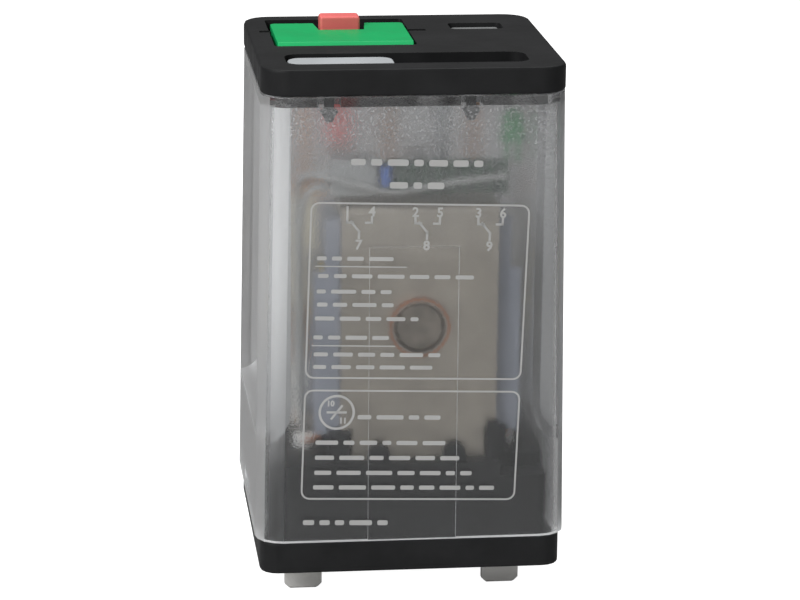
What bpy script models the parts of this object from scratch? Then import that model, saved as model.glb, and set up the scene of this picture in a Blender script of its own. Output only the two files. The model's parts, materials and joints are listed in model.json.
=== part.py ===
"""Plug-in control relay: three changeover poles, eleven flat blades, clear cover and a black top cap.

The origin is the centre of the seating face, the underside of the base. +Z is up, away from the
socket, and -Y is the front, the coil side. Lengths here are millimetres; the helpers scale them to metres.
"""

import math

import bmesh
import bpy
from mathutils import Matrix, Vector

MM = 0.001
GAP = 0.3
OVERSHOOT = 1.0

# Housing
CAP_HALF_WIDTH = 18.6
CAP_HALF_DEPTH = 18.0
CAP_BOTTOM = 60.6
CAP_TOP = 64.0
CORNER_RADIUS = 3.4
COVER_TOP = 60.5
COVER_BOTTOM = 4.35
COVER_TOP_HALF = (18.55, 17.95)
COVER_BOTTOM_HALF = (19.4, 18.15)
COVER_WALL = 1.2
COVER_CEILING = 59.2
GRIP_WALL = 16.2
GRIP_HALF_LENGTH = 14.6
GRIP_SCOOP_TOP = 21.0
GRIP_SCOOP_BOTTOM = 17.3
PANEL_HALF_WIDTH = 5.5
PANEL_TOP = 41.8
BASE_HALF = (18.85, 17.35)
BASE_CORNER = 2.2
BASE_FLANGE = 4.05
BASE_DECK = 13.6
BASE_DECK_LEFT = -16.1
BASE_DECK_RIGHT = 17.3
BASE_DECK_HALF_DEPTH = 15.6
HOOK_PLACES = (-10.4, 6.8)
LATCH_ENDS = (-3.5, 4.5)
LATCH_LEVELS = (5.7, 7.3)

# Blades
BLADE_WIDTH = 4.75
BLADE_THICKNESS = 0.8
BLADE_TIP = -5.7
BLADE_CHAMFER = 0.7
STOP_LINE_LEVELS = (-0.45, -0.15)
STOP_LINE_DEPTH = 0.08
COLUMNS = (-12.7, 0.0, 12.7)
CONTACT_COLUMNS = (-11.0, 0.0, 11.0)
COIL_ROW = -7.0
COMMON_ROW = 2.1
OPEN_ROW = 8.3
CLOSED_ROW = 14.5

# Magnet system, centred a little to the right
MAGNET_X = 1.2
CORE_HEIGHT = 30.5
YOKE_HALF_WIDTH = 9.75
YOKE_FRONT = -12.9
YOKE_BACK = 2.0
YOKE_THICKNESS = 1.6
YOKE_TOP = 46.1
YOKE_SHOULDER = 17.4
YOKE_FOOT_HALF_WIDTH = 8.3
YOKE_FOOT = 9.5
FLANGE_HALF_WIDTH = 12.9
FLANGE_BOTTOM = 16.2
FLANGE_TOP = 44.0
FLANGE_FRONT = -10.9
FLANGE_BACK = 0.5
FLANGE_THICKNESS = 1.0
BORE_RADIUS = 4.5
CORE_RADIUS = 4.2
CORE_NECK_RADIUS = 2.9
POLE_RADIUS = 3.5
POLE_FACE = 1.1
COIL_RADIUS = 11.6
TAPE_RADIUS = 12.3

# Armature and contacts
PIVOT = (MAGNET_X, 2.4, 45.3)
ARMATURE_THICKNESS = 1.5
ARMATURE_HALF_WIDTH = 8.0
ARMATURE_BOTTOM = 24.2
ARMATURE_TOP = 47.1
TAIL_SIDES = (-8.4, -5.0)
TAIL_BACK = 11.6
TAIL_TOP = 48.3
TAB_SIDES = (1.3, 3.7)
SPRING_PLANE = 7.85
SPRING_THICKNESS = 0.3
SPRING_LEVELS = (17.3, 44.7)
CONTACT_LEVEL = 19.7
OPEN_PLANE = 4.0
CLOSED_PLANE = 9.9
CONTACT_RADIUS = 1.3

# Top controls
DOOR_SIDES = (-15.5, 1.5)
DOOR_FRONT = -2.55
DOOR_BACK = 10.9
DOOR_BOTTOM = 62.8
DOOR_TOP = 64.3
DOOR_AXIS = (-6.6, 7.1, 63.5)
NOTCH_FRONT = 6.3
POCKET_SIDES = (-15.9, 1.85)
POCKET_ENDS = (-2.9, 15.1)
POCKET_FLOOR = 62.6
TINE_WINDOW = (5.95, 12.7)
BUTTON_SIDES = (-9.3, -4.2)
BUTTON_ENDS = (8.1, 11.2)
BUTTON_TOP = 65.6
STEM_SIDES = (-8.2, -5.3)
STEM_ENDS = (9.3, 10.9)
STEM_BOTTOM = 49.15
GROOVE_SIDES = (-15.3, 14.3)
GROOVE_ENDS = (-14.6, -8.1)
GROOVE_FLOOR = 62.75
WINDOW_SIDES = (7.4, 14.2)
WINDOW_ENDS = (7.3, 11.5)


def clear_scene():
    for thing in list(bpy.data.objects):
        bpy.data.objects.remove(thing, do_unlink=True)


def new_collection(name):
    collection = bpy.data.collections.new(name)
    bpy.context.scene.collection.children.link(collection)
    return collection


def finish(name, colour, roughness, metallic=0.0, alpha=1.0):
    """A Principled material for one piece."""
    made = bpy.data.materials.new(name)
    made.use_nodes = True
    shader = made.node_tree.nodes["Principled BSDF"]
    shader.inputs["Base Color"].default_value = (*colour, 1.0)
    shader.inputs["Roughness"].default_value = roughness
    shader.inputs["Metallic"].default_value = metallic
    shader.inputs["Alpha"].default_value = alpha
    return made


BLACK_PLASTIC = ((0.02, 0.02, 0.022), 0.5)
CLEAR_PLASTIC = ((0.55, 0.55, 0.55), 0.1, 0.0, 0.35)
GREEN_PLASTIC = ((0.02, 0.45, 0.13), 0.4)
RED_PLASTIC = ((0.55, 0.06, 0.06), 0.4)
WHITE_PLASTIC = ((0.75, 0.77, 0.79), 0.5)
BLUE_GREY_PLASTIC = ((0.28, 0.31, 0.38), 0.5)
IVORY_PLASTIC = ((0.7, 0.66, 0.55), 0.55)
GREY_PLASTIC = ((0.35, 0.35, 0.34), 0.45)
BLUE_LACQUER = ((0.05, 0.14, 0.45), 0.35)
BOARD_LAMINATE = ((0.02, 0.04, 0.03), 0.5)
TINNED_BRASS = ((0.75, 0.75, 0.72), 0.3, 1.0)
PLATED_STEEL = ((0.55, 0.52, 0.46), 0.4, 1.0)
SPRING_STEEL = ((0.6, 0.6, 0.6), 0.3, 1.0)
COPPER = ((0.8, 0.38, 0.22), 0.35, 1.0)
SPRING_COPPER = ((0.78, 0.45, 0.28), 0.3, 1.0)
SILVER = ((0.85, 0.85, 0.83), 0.25, 1.0)
IRON = ((0.4, 0.38, 0.35), 0.45, 1.0)
TAPE = ((0.55, 0.45, 0.15), 0.4)


def add(name, mesh, look=None):
    """Adds a piece, or, with no look, a helper that only cuts or joins."""
    thing = bpy.data.objects.new(name, mesh)
    if look is None:
        helpers.objects.link(thing)
        thing.hide_render = True
        thing.display_type = "WIRE"
    else:
        relay.objects.link(thing)
        mesh.materials.append(finish(name, *look))
    return thing


def smooth_mesh(mesh):
    mesh.shade_smooth()
    mesh.set_sharp_from_angle(angle=math.radians(35))


def soften(thing, width, steps=2):
    """Rounds the sharp edges of a piece."""
    bevel = thing.modifiers.new("rounding", "BEVEL")
    bevel.width = width * MM
    bevel.segments = steps
    bevel.limit_method = "ANGLE"
    bevel.angle_limit = math.radians(40)


def block(name, low, high, look=None, corner=0.0, corner_steps=4, foot=None):
    """A box between two corners, its upright edges rounded. foot is the half size of its lower end if it flares."""
    middle = [(a + b) / 2 for a, b in zip(low, high)]
    half = [(b - a) / 2 for a, b in zip(low, high)]
    shape = bmesh.new()
    bmesh.ops.create_cube(shape, size=2.0)
    for vertex in shape.verts:
        reach = foot if foot and vertex.co.z < 0 else half
        vertex.co = Vector((vertex.co.x * reach[0], vertex.co.y * reach[1], vertex.co.z * half[2])) * MM
    if corner:
        upright = [edge for edge in shape.edges if abs(edge.verts[0].co.z - edge.verts[1].co.z) > MM * half[2]]
        bmesh.ops.bevel(
            shape, geom=upright, offset=corner * MM, segments=corner_steps, profile=0.5, affect="EDGES"
        )
    mesh = bpy.data.meshes.new(name)
    shape.to_mesh(mesh)
    shape.free()
    thing = add(name, mesh, look)
    thing.location = Vector(middle) * MM
    return thing


def face_along(axis):
    """The turn that takes local Z to an axis; the outline's own two axes stay in X, Y, Z order."""
    columns = {
        "X": ((0, 1, 0), (0, 0, 1), (1, 0, 0)),
        "Y": ((1, 0, 0), (0, 0, 1), (0, -1, 0)),
        "Z": ((1, 0, 0), (0, 1, 0), (0, 0, 1)),
    }[axis]
    return Matrix(columns).transposed().to_4x4()


def prism(name, outline, axis, start, end, look=None):
    """A flat outline, given in the other two axes, extruded along one axis from start to end."""
    curve = bpy.data.curves.new(name, "CURVE")
    curve.dimensions = "2D"
    curve.fill_mode = "BOTH"
    curve.extrude = (end - start) / 2 * MM
    spline = curve.splines.new("POLY")
    spline.points.add(len(outline) - 1)
    spline.use_cyclic_u = True
    for point, (across, up) in zip(spline.points, outline):
        point.co = (across * MM, up * MM, 0.0, 1.0)
    drawn = bpy.data.objects.new(name, curve)
    helpers.objects.link(drawn)
    graph = bpy.context.evaluated_depsgraph_get()
    mesh = bpy.data.meshes.new_from_object(drawn.evaluated_get(graph))
    bpy.data.objects.remove(drawn)
    shape = bmesh.new()
    shape.from_mesh(mesh)
    bmesh.ops.remove_doubles(shape, verts=shape.verts, dist=0.001 * MM)
    bmesh.ops.recalc_face_normals(shape, faces=shape.faces)
    shape.to_mesh(mesh)
    shape.free()
    mesh.transform(face_along(axis))
    if mesh.materials:
        mesh.materials.clear()
    thing = add(name, mesh, look)
    thing.location["XYZ".index(axis)] = (start + end) / 2 * MM
    return thing


def round_bar(name, centre, axis, radius, length, look=None, sides=16):
    """A plain cylinder about a centre point."""
    shape = bmesh.new()
    bmesh.ops.create_cone(
        shape,
        cap_ends=True,
        segments=sides,
        radius1=radius * MM,
        radius2=radius * MM,
        depth=length * MM,
    )
    mesh = bpy.data.meshes.new(name)
    shape.to_mesh(mesh)
    shape.free()
    mesh.transform(face_along(axis))
    thing = add(name, mesh, look)
    thing.location = Vector(centre) * MM
    if look:
        smooth_mesh(mesh)
    return thing


def turned(name, profile, axis, place, look, steps=24):
    """A turned piece. The profile's (radius, height) points run down the outer side; height is along the axis."""
    shape = bmesh.new()
    ring = [shape.verts.new((radius * MM, 0.0, height * MM)) for radius, height in profile]
    for upper, lower in zip(ring, ring[1:]):
        shape.edges.new((upper, lower))
    if profile[0][0] > 0:
        shape.edges.new((ring[-1], ring[0]))
    mesh = bpy.data.meshes.new(name)
    shape.to_mesh(mesh)
    shape.free()
    thing = add(name, mesh, look)
    screw = thing.modifiers.new("turning", "SCREW")
    screw.steps = steps
    screw.render_steps = steps
    screw.use_merge_vertices = True
    screw.merge_threshold = 0.00001
    screw.use_smooth_shade = True
    thing.matrix_world = face_along(axis)
    thing.location = Vector(place) * MM
    return thing


def ribbon(name, stations, thickness, look):
    """A bent strip. Each station is (left, right, y, z) across the strip's middle surface."""
    shape = bmesh.new()
    edges = []
    for left, right, y, z in stations:
        edges.append([shape.verts.new(Vector((x, y, z)) * MM) for x in (left, right)])
    for (left_a, right_a), (left_b, right_b) in zip(edges, edges[1:]):
        shape.faces.new((left_a, right_a, right_b, left_b))
    mesh = bpy.data.meshes.new(name)
    shape.to_mesh(mesh)
    shape.free()
    thing = add(name, mesh, look)
    solid = thing.modifiers.new("thickness", "SOLIDIFY")
    solid.thickness = thickness * MM
    solid.offset = 0.0
    solid.use_even_offset = True
    return thing


def smooth_route(points, steps):
    """Points read from a Catmull-Rom curve through the route's own points."""
    route = [Vector(point) for point in points]
    ends = [2 * route[0] - route[1], *route, 2 * route[-1] - route[-2]]
    read = []
    for before, start, end, after in zip(ends, ends[1:], ends[2:], ends[3:]):
        for step in range(steps):
            t = step / steps
            read.append(
                0.5
                * (
                    2 * start
                    + (end - before) * t
                    + (2 * before - 5 * start + 4 * end - after) * t**2
                    + (3 * start - before - 3 * end + after) * t**3
                )
            )
    return [*read, route[-1]]


def wire(name, route, radius, look):
    """A round wire along a route of points."""
    curve = bpy.data.curves.new(name, "CURVE")
    curve.dimensions = "3D"
    curve.bevel_depth = radius * MM
    curve.bevel_resolution = 2
    curve.use_fill_caps = True
    spline = curve.splines.new("POLY")
    spline.points.add(len(route) - 1)
    for point, place in zip(spline.points, route):
        point.co = (*(Vector(place) * MM), 1.0)
    curve.materials.append(finish(name, *look))
    thing = bpy.data.objects.new(name, curve)
    relay.objects.link(thing)
    return thing


def combine(thing, operation, others):
    for other in others:
        step = thing.modifiers.new(f"{operation.lower()} {other.name}", "BOOLEAN")
        step.operation = operation
        step.solver = "EXACT"
        step.object = other


def cut(thing, *cutters):
    combine(thing, "DIFFERENCE", cutters)


def join(thing, *others):
    combine(thing, "UNION", others)


def hang_on(pivot_name, pivot, pieces):
    """Parents moving pieces to an empty on their joint's axis, without moving them."""
    empty = bpy.data.objects.new(pivot_name, None)
    relay.objects.link(empty)
    empty.location = Vector(pivot) * MM
    for piece in pieces:
        piece.parent = empty
        piece.location -= empty.location


def arc(centre, radii, start, end, steps):
    """Points on an ellipse's arc, angles in degrees."""
    turns = [math.radians(start + (end - start) * step / steps) for step in range(steps + 1)]
    return [(centre[0] + radii[0] * math.cos(turn), centre[1] + radii[1] * math.sin(turn)) for turn in turns]


def grip_outline(side, wall):
    """The finger grip in X and Z, cut inward by one wall thickness for the cover's inside."""
    inner = GRIP_WALL - wall
    outer = COVER_BOTTOM_HALF[0] + 2
    reach = (COVER_BOTTOM_HALF[0] - inner, GRIP_SCOOP_TOP - GRIP_SCOOP_BOTTOM + wall)
    scoop = arc((inner + reach[0], GRIP_SCOOP_TOP), reach, 180, 270, 5)
    top = COVER_CEILING + (OVERSHOOT if wall else 0)
    points = [(inner, top), *scoop, (outer, scoop[-1][1]), (outer, top)]
    return [(side * x, z) for x, z in points]


def grip_cutters(wall):
    cutters = []
    for side, word in ((-1, "left"), (1, "right")):
        half = GRIP_HALF_LENGTH + wall
        kind = "inner" if wall else "outer"
        cutters.append(prism(f"{kind}_grip_{word}", grip_outline(side, wall), "Y", -half, half))
    return cutters


def make_cover():
    """The clear shell: flared walls, a ceiling, a finger grip on each side and latch windows."""
    top_x, top_y = COVER_TOP_HALF
    cover = block(
        "cover",
        (-top_x, -top_y, COVER_BOTTOM),
        (top_x, top_y, COVER_TOP),
        CLEAR_PLASTIC,
        CORNER_RADIUS,
        foot=COVER_BOTTOM_HALF,
    )
    inside = block(
        "cover_inside",
        (-(top_x - COVER_WALL), -(top_y - COVER_WALL), COVER_BOTTOM - OVERSHOOT),
        (top_x - COVER_WALL, top_y - COVER_WALL, COVER_CEILING),
        None,
        CORNER_RADIUS - COVER_WALL,
        foot=[half - COVER_WALL for half in COVER_BOTTOM_HALF],
    )
    cut(inside, *grip_cutters(COVER_WALL))
    ceiling_cut = (COVER_CEILING - OVERSHOOT, COVER_TOP + OVERSHOOT)
    tines = block(
        "tine_opening",
        (POCKET_SIDES[0], TINE_WINDOW[0], COVER_CEILING + 0.05),
        (POCKET_SIDES[1], TINE_WINDOW[1], ceiling_cut[1]),
    )
    stem = block(
        "stem_opening",
        (-14.8, TINE_WINDOW[0] + 0.01, ceiling_cut[0]),
        (POCKET_SIDES[1] - 0.01, TINE_WINDOW[1] - 0.01, COVER_TOP - 0.5),
    )
    light = block("light_opening", (8.1, 8.0, ceiling_cut[0]), (13.9, 10.8, ceiling_cut[1]))
    panel = block(
        "front_panel_relief",
        (-PANEL_HALF_WIDTH, -17.35, COVER_BOTTOM - OVERSHOOT),
        (PANEL_HALF_WIDTH, -16.6, PANEL_TOP),
    )
    cutters = [tines, stem, light, panel]
    for side in (-1, 1):
        ends = sorted((side * 17.0, side * 20.5))
        word = "left" if side < 0 else "right"
        low = (ends[0], LATCH_ENDS[0], LATCH_LEVELS[0])
        high = (ends[1], LATCH_ENDS[1], LATCH_LEVELS[1])
        cutters.append(block(f"latch_window_{word}", low, high))
    for x in HOOK_PLACES:
        for side in (-1, 1):
            ends = sorted((side * 14.8, side * 16.55))
            low = (x - 1.35, ends[0], ceiling_cut[0])
            high = (x + 1.35, ends[1], ceiling_cut[1])
            cutters.append(block(f"hook_slot_{x}_{side}", low, high))
    cut(cover, *grip_cutters(0.0), inside, *cutters)
    return cover


def blade_places():
    """Where each blade goes through the base."""
    places = [(COLUMNS[0], COIL_ROW), (COLUMNS[2], COIL_ROW)]
    for row in (COMMON_ROW, OPEN_ROW, CLOSED_ROW):
        places += [(x, row) for x in COLUMNS]
    return places


def make_base():
    """Black base: a flange the cover stands on, a deck through which the blades pass, and the yoke's supports."""
    half_x, half_y = BASE_HALF
    base = block("base", (-half_x, -half_y, 0.0), (half_x, half_y, BASE_FLANGE), BLACK_PLASTIC, BASE_CORNER)
    soften(base, 0.35)
    deck = block(
        "base_deck",
        (BASE_DECK_LEFT, -BASE_DECK_HALF_DEPTH, OVERSHOOT),
        (BASE_DECK_RIGHT, BASE_DECK_HALF_DEPTH, BASE_DECK),
        None,
        1.2,
    )
    joined = [deck]
    for number, x in enumerate((MAGNET_X - YOKE_HALF_WIDTH + 0.1, MAGNET_X + YOKE_HALF_WIDTH - 0.1)):
        joined.append(
            block(
                f"yoke_post_{number}",
                (x - (1.6 if number == 0 else 1.0), -14.0, BASE_DECK - OVERSHOOT),
                (x + (1.0 if number == 0 else 1.6), -11.0, YOKE_SHOULDER - 0.4),
            )
        )
        hump_x = MAGNET_X - 5.1 if number == 0 else MAGNET_X + 4.4
        outline = [(hump_x - 1.4, 12.0), (hump_x + 1.4, 12.0), *arc((hump_x, 14.4), (1.4, 1.4), 0, 180, 6)]
        joined.append(prism(f"yoke_clip_{number}", outline, "Y", -15.0, -13.4))
    joined.append(block("yoke_guide", (9.7, -14.4, BASE_DECK - OVERSHOOT), (11.1, -13.3, 18.3)))
    for side in (-1, 1):
        ends = sorted((side * 16.0, side * 18.9))
        low = (ends[0], LATCH_ENDS[0] + GAP, LATCH_LEVELS[0] + GAP)
        high = (ends[1], LATCH_ENDS[1] - GAP, LATCH_LEVELS[1] - GAP)
        joined.append(block(f"latch_lug_{side}", low, high))
    join(base, *joined)
    cutters = [
        block("lowered_corner", (11.2, -20.0, 11.8), (20.0, -11.9, 20.0)),
        block(
            "yoke_slot",
            (MAGNET_X - YOKE_FOOT_HALF_WIDTH - GAP, YOKE_FRONT - GAP, YOKE_FOOT - GAP),
            (MAGNET_X + YOKE_FOOT_HALF_WIDTH + GAP, YOKE_FRONT + YOKE_THICKNESS + GAP, 20.0),
        ),
    ]
    reach = BLADE_WIDTH / 2 + GAP
    depth = BLADE_THICKNESS / 2 + GAP
    for number, (x, y) in enumerate(blade_places()):
        low = (x - reach, y - depth, -OVERSHOOT)
        high = (x + reach, y + depth, BASE_DECK + OVERSHOOT)
        cutters.append(block(f"blade_slot_{number}", low, high))
    cut(base, cutters[1], *cutters[2:], cutters[0])
    return base


def hook_outline(x):
    """A snap hook: a stem and an arrow head, in X and Z."""
    return [
        (x - 0.55, CAP_BOTTOM + 0.5),
        (x - 0.55, 58.8),
        (x - 1.05, 58.6),
        (x - 0.35, 57.3),
        (x + 0.35, 57.3),
        (x + 1.05, 58.6),
        (x + 0.55, 58.8),
        (x + 0.55, CAP_BOTTOM + 0.5),
    ]


def make_top_cap():
    """Black cap: pocket for the door, well for the button, groove for the tag, window, and four hooks below."""
    low = (-CAP_HALF_WIDTH, -CAP_HALF_DEPTH, CAP_BOTTOM)
    high = (CAP_HALF_WIDTH, CAP_HALF_DEPTH, CAP_TOP)
    cap = block("top_cap", low, high, BLACK_PLASTIC, CORNER_RADIUS, 5)
    soften(cap, 0.45)
    hooks = []
    for x in HOOK_PLACES:
        hooks.append(prism(f"front_hook_{x}", hook_outline(x), "Y", -16.3, -15.1))
        hooks.append(prism(f"back_hook_{x}", hook_outline(x), "Y", 15.1, 16.3))
    join(cap, *hooks)
    above = CAP_TOP + OVERSHOOT
    below = CAP_BOTTOM - OVERSHOOT
    web = (BUTTON_SIDES[0] - 0.05, BUTTON_SIDES[1] + 0.05)
    cut(
        cap,
        block(
            "door_pocket",
            (POCKET_SIDES[0], POCKET_ENDS[0], POCKET_FLOOR),
            (POCKET_SIDES[1], POCKET_ENDS[1], above),
            None,
            0.5,
            2,
        ),
        block("tine_window_left", (POCKET_SIDES[0], TINE_WINDOW[0], below), (web[0], TINE_WINDOW[1], above - 0.2)),
        block("tine_window_right", (web[1], TINE_WINDOW[0], below), (POCKET_SIDES[1], TINE_WINDOW[1], above - 0.2)),
        block("button_well", (web[0] - 0.3, 7.8, CAP_BOTTOM + 0.8), (web[1] + 0.3, 11.6, above - 0.3)),
        block(
            "stem_hole",
            (STEM_SIDES[0] - GAP, STEM_ENDS[0] - GAP, below),
            (STEM_SIDES[1] + GAP, STEM_ENDS[1] + GAP, above - 0.4),
        ),
        block(
            "tag_groove",
            (GROOVE_SIDES[0], GROOVE_ENDS[0], GROOVE_FLOOR),
            (GROOVE_SIDES[1], GROOVE_ENDS[1], above),
            None,
            1.8,
            4,
        ),
        block(
            "window_recess",
            (WINDOW_SIDES[0], WINDOW_ENDS[0], 62.4),
            (WINDOW_SIDES[1], WINDOW_ENDS[1], above),
            None,
            0.7,
            3,
        ),
        block("window_hole", (8.1, 8.0, below), (13.5, 10.8, above - 0.1)),
        block("pin_slot_left", (-17.1, 6.5, 62.9), (POCKET_SIDES[0] + 0.4, 7.7, above - 0.5)),
        block("pin_slot_right", (POCKET_SIDES[1] - 0.3, 6.5, 62.9), (4.1, 7.7, above - 0.5)),
    )
    return cap


def make_door():
    """Green lock-down door with a notch for the button, and the two pins it turns on."""
    left, right = DOOR_SIDES
    outline = [
        (left, DOOR_FRONT + 0.4),
        (left + 0.4, DOOR_FRONT),
        (right - 0.4, DOOR_FRONT),
        (right, DOOR_FRONT + 0.4),
        (right, DOOR_BACK - 0.4),
        (right - 0.4, DOOR_BACK),
        (-3.4, DOOR_BACK),
        (-3.9, NOTCH_FRONT),
        (-9.6, NOTCH_FRONT),
        (-9.95, DOOR_BACK),
        (left + 0.4, DOOR_BACK),
        (left, DOOR_BACK - 0.4),
    ]
    door = prism("lock_down_door", outline, "Z", DOOR_BOTTOM, DOOR_TOP, GREEN_PLASTIC)
    wedge = [(DOOR_FRONT - 1, DOOR_TOP - 1.8), (DOOR_FRONT + 1.8, DOOR_TOP + 1), (DOOR_FRONT - 1, DOOR_TOP + 1)]
    cut(door, prism("door_chamfer", wedge, "X", left - 1, right + 1))
    pins = []
    for word, start, end in (("left", -16.8, left - 0.3), ("right", right + 0.3, 3.8)):
        centre = ((start + end) / 2, DOOR_AXIS[1], DOOR_AXIS[2])
        pins.append(round_bar(f"door_pin_{word}", centre, "X", 0.3, end - start, BLACK_PLASTIC, 12))
    hang_on("door_axis", DOOR_AXIS, [door, *pins])


def make_button():
    """Red push-to-test button: a head in the cap's well and a stem that reaches down to the armature's tail."""
    low = (BUTTON_SIDES[0], BUTTON_ENDS[0], DOOR_BOTTOM)
    high = (BUTTON_SIDES[1], BUTTON_ENDS[1], BUTTON_TOP)
    button = block("push_button", low, high, RED_PLASTIC)
    soften(button, 0.35)
    low = (STEM_SIDES[0], STEM_ENDS[0], STEM_BOTTOM)
    high = (STEM_SIDES[1], STEM_ENDS[1], DOOR_BOTTOM + OVERSHOOT)
    join(button, block("button_stem", low, high))


def make_tag_and_lens():
    tag = block("id_tag", (-15.0, -14.3, 63.0), (-2.05, -8.9, 63.7), WHITE_PLASTIC, 1.7, 5)
    soften(tag, 0.15, 1)
    lens = block("indicator_lens", (7.7, 7.6, 62.7), (13.9, 11.2, 63.5), GREY_PLASTIC, 0.5, 2)
    soften(lens, 0.15, 1)


def make_yoke():
    """The bent iron frame: front plate with its foot, top leg, and the return spring's lug."""
    back = YOKE_FRONT + YOKE_THICKNESS
    bend = arc((YOKE_FRONT + 1.2, YOKE_TOP - 1.2), (1.2, 1.2), 90, 180, 4)
    outline = [
        (YOKE_FRONT, YOKE_SHOULDER),
        (back, YOKE_SHOULDER),
        (back, YOKE_TOP - YOKE_THICKNESS),
        (YOKE_BACK, YOKE_TOP - YOKE_THICKNESS),
        (YOKE_BACK, YOKE_TOP),
        *bend,
    ]
    sides = (MAGNET_X - YOKE_HALF_WIDTH, MAGNET_X + YOKE_HALF_WIDTH)
    yoke = prism("yoke", outline, "X", *sides, PLATED_STEEL)
    foot = block(
        "yoke_foot",
        (MAGNET_X - YOKE_FOOT_HALF_WIDTH, YOKE_FRONT + 0.01, YOKE_FOOT),
        (MAGNET_X + YOKE_FOOT_HALF_WIDTH, back - 0.01, YOKE_SHOULDER + 1.0),
    )
    lug = block("spring_lug", (TAB_SIDES[0], -6.5, YOKE_TOP - 0.8), (TAB_SIDES[1], -5.3, 49.6))
    join(yoke, foot, lug)
    hole = round_bar("core_hole", (MAGNET_X, YOKE_FRONT, CORE_HEIGHT), "Y", CORE_NECK_RADIUS + GAP, 6.0, None, 24)
    cut(yoke, hole)


def make_coil():
    """Core, coil former, winding, tape and the two copper rings."""
    place = (MAGNET_X, 0.0, CORE_HEIGHT)
    # face_along("Y") takes local +Z to -Y, so a height is minus the Y it lands on.
    front = -YOKE_FRONT + GAP
    neck_end = -(YOKE_FRONT + YOKE_THICKNESS + GAP)
    profile = [
        (0.0, front),
        (CORE_NECK_RADIUS, front),
        (CORE_NECK_RADIUS, neck_end),
        (CORE_RADIUS, neck_end),
        (CORE_RADIUS, 0.0),
        (POLE_RADIUS, 0.0),
        (POLE_RADIUS, -POLE_FACE),
        (0.0, -POLE_FACE),
    ]
    turned("core", profile, "Y", place, IRON)
    rings = (
        ("core_washer", 3.2, 3.75, front, front + 0.3, COPPER),
        ("shading_ring", POLE_RADIUS + GAP, 4.6, -1.02, -0.8, COPPER),
        ("coil_winding", 5.6, COIL_RADIUS, 0.8, 9.6, COPPER),
        ("coil_tape", TAPE_RADIUS - 0.4, TAPE_RADIUS, 0.9, 9.5, TAPE),
    )
    for name, inner, outer, low, high, look in rings:
        ring = [(outer, high), (outer, low), (inner, low), (inner, high)]
        turned(name, ring, "Y", place, look, 32)
    left = MAGNET_X - FLANGE_HALF_WIDTH
    right = MAGNET_X + FLANGE_HALF_WIDTH
    step = 1.3
    shelf = 37.2
    outline = [
        (left, FLANGE_BOTTOM),
        (right, FLANGE_BOTTOM),
        (right, shelf),
        (right - step, shelf),
        (right - step, FLANGE_TOP),
        (left + step, FLANGE_TOP),
        (left + step, shelf),
        (left, shelf),
    ]
    bobbin = prism("bobbin", outline, "Y", FLANGE_FRONT, FLANGE_FRONT + FLANGE_THICKNESS, BLUE_GREY_PLASTIC)
    back_flange = prism("bobbin_back", outline, "Y", FLANGE_BACK - FLANGE_THICKNESS, FLANGE_BACK)
    middle = (FLANGE_FRONT + FLANGE_BACK) / 2
    length = FLANGE_BACK - FLANGE_FRONT
    centre = (MAGNET_X, middle, CORE_HEIGHT)
    tube = round_bar("bobbin_tube", centre, "Y", 5.3, length - FLANGE_THICKNESS, None, 24)
    join(bobbin, back_flange, tube)
    cut(bobbin, round_bar("bobbin_bore", centre, "Y", BORE_RADIUS, length + 4, None, 24))


def make_armature():
    """Iron plate hinged at the top of the yoke, with a tail under the button and a tab for the return spring."""
    front, thick = PIVOT[1], ARMATURE_THICKNESS
    left = MAGNET_X - ARMATURE_HALF_WIDTH
    right = MAGNET_X + ARMATURE_HALF_WIDTH
    plate = block("armature", (left, front, ARMATURE_BOTTOM), (right, front + thick, ARMATURE_TOP), IRON)
    tail_outline = [
        (front + 0.01, ARMATURE_TOP - 2.0),
        (front + thick - 0.01, ARMATURE_TOP - 2.0),
        (front + thick - 0.01, ARMATURE_TOP + 0.01),
        (TAIL_BACK, ARMATURE_TOP + 0.01),
        (TAIL_BACK, TAIL_TOP),
        (front + 0.01, TAIL_TOP),
    ]
    tail = prism("armature_tail", tail_outline, "X", *TAIL_SIDES)
    low = (TAB_SIDES[0], front + 0.01, ARMATURE_TOP - 1.0)
    high = (TAB_SIDES[1], front + thick - 0.01, 50.1)
    join(plate, tail, block("spring_tab", low, high))
    cut(plate, block("tab_notch", (2.0, front - 1, 48.0), (3.0, front + thick + 1, 51.0)))
    carrier = block("contact_carrier", (-13.4, 4.2, 28.7), (13.4, 7.4, 42.7), IVORY_PLASTIC)
    soften(carrier, 0.4, 2)
    flag = block("status_flag", (5.0, 4.0, 43.1), (7.0, 4.8, 58.3), WHITE_PLASTIC)
    join(flag, block("flag_plate", (5.01, 4.01, 57.8), (14.2, 11.6, 58.6)))
    rivets = []
    for word, x in (("left", -5.5), ("right", 5.5)):
        rivets.append(round_bar(f"armature_rivet_{word}", (x, 7.8, 35.7), "Y", 1.2, 0.6, TINNED_BRASS))
    return [plate, carrier, flag, *rivets]


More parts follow.
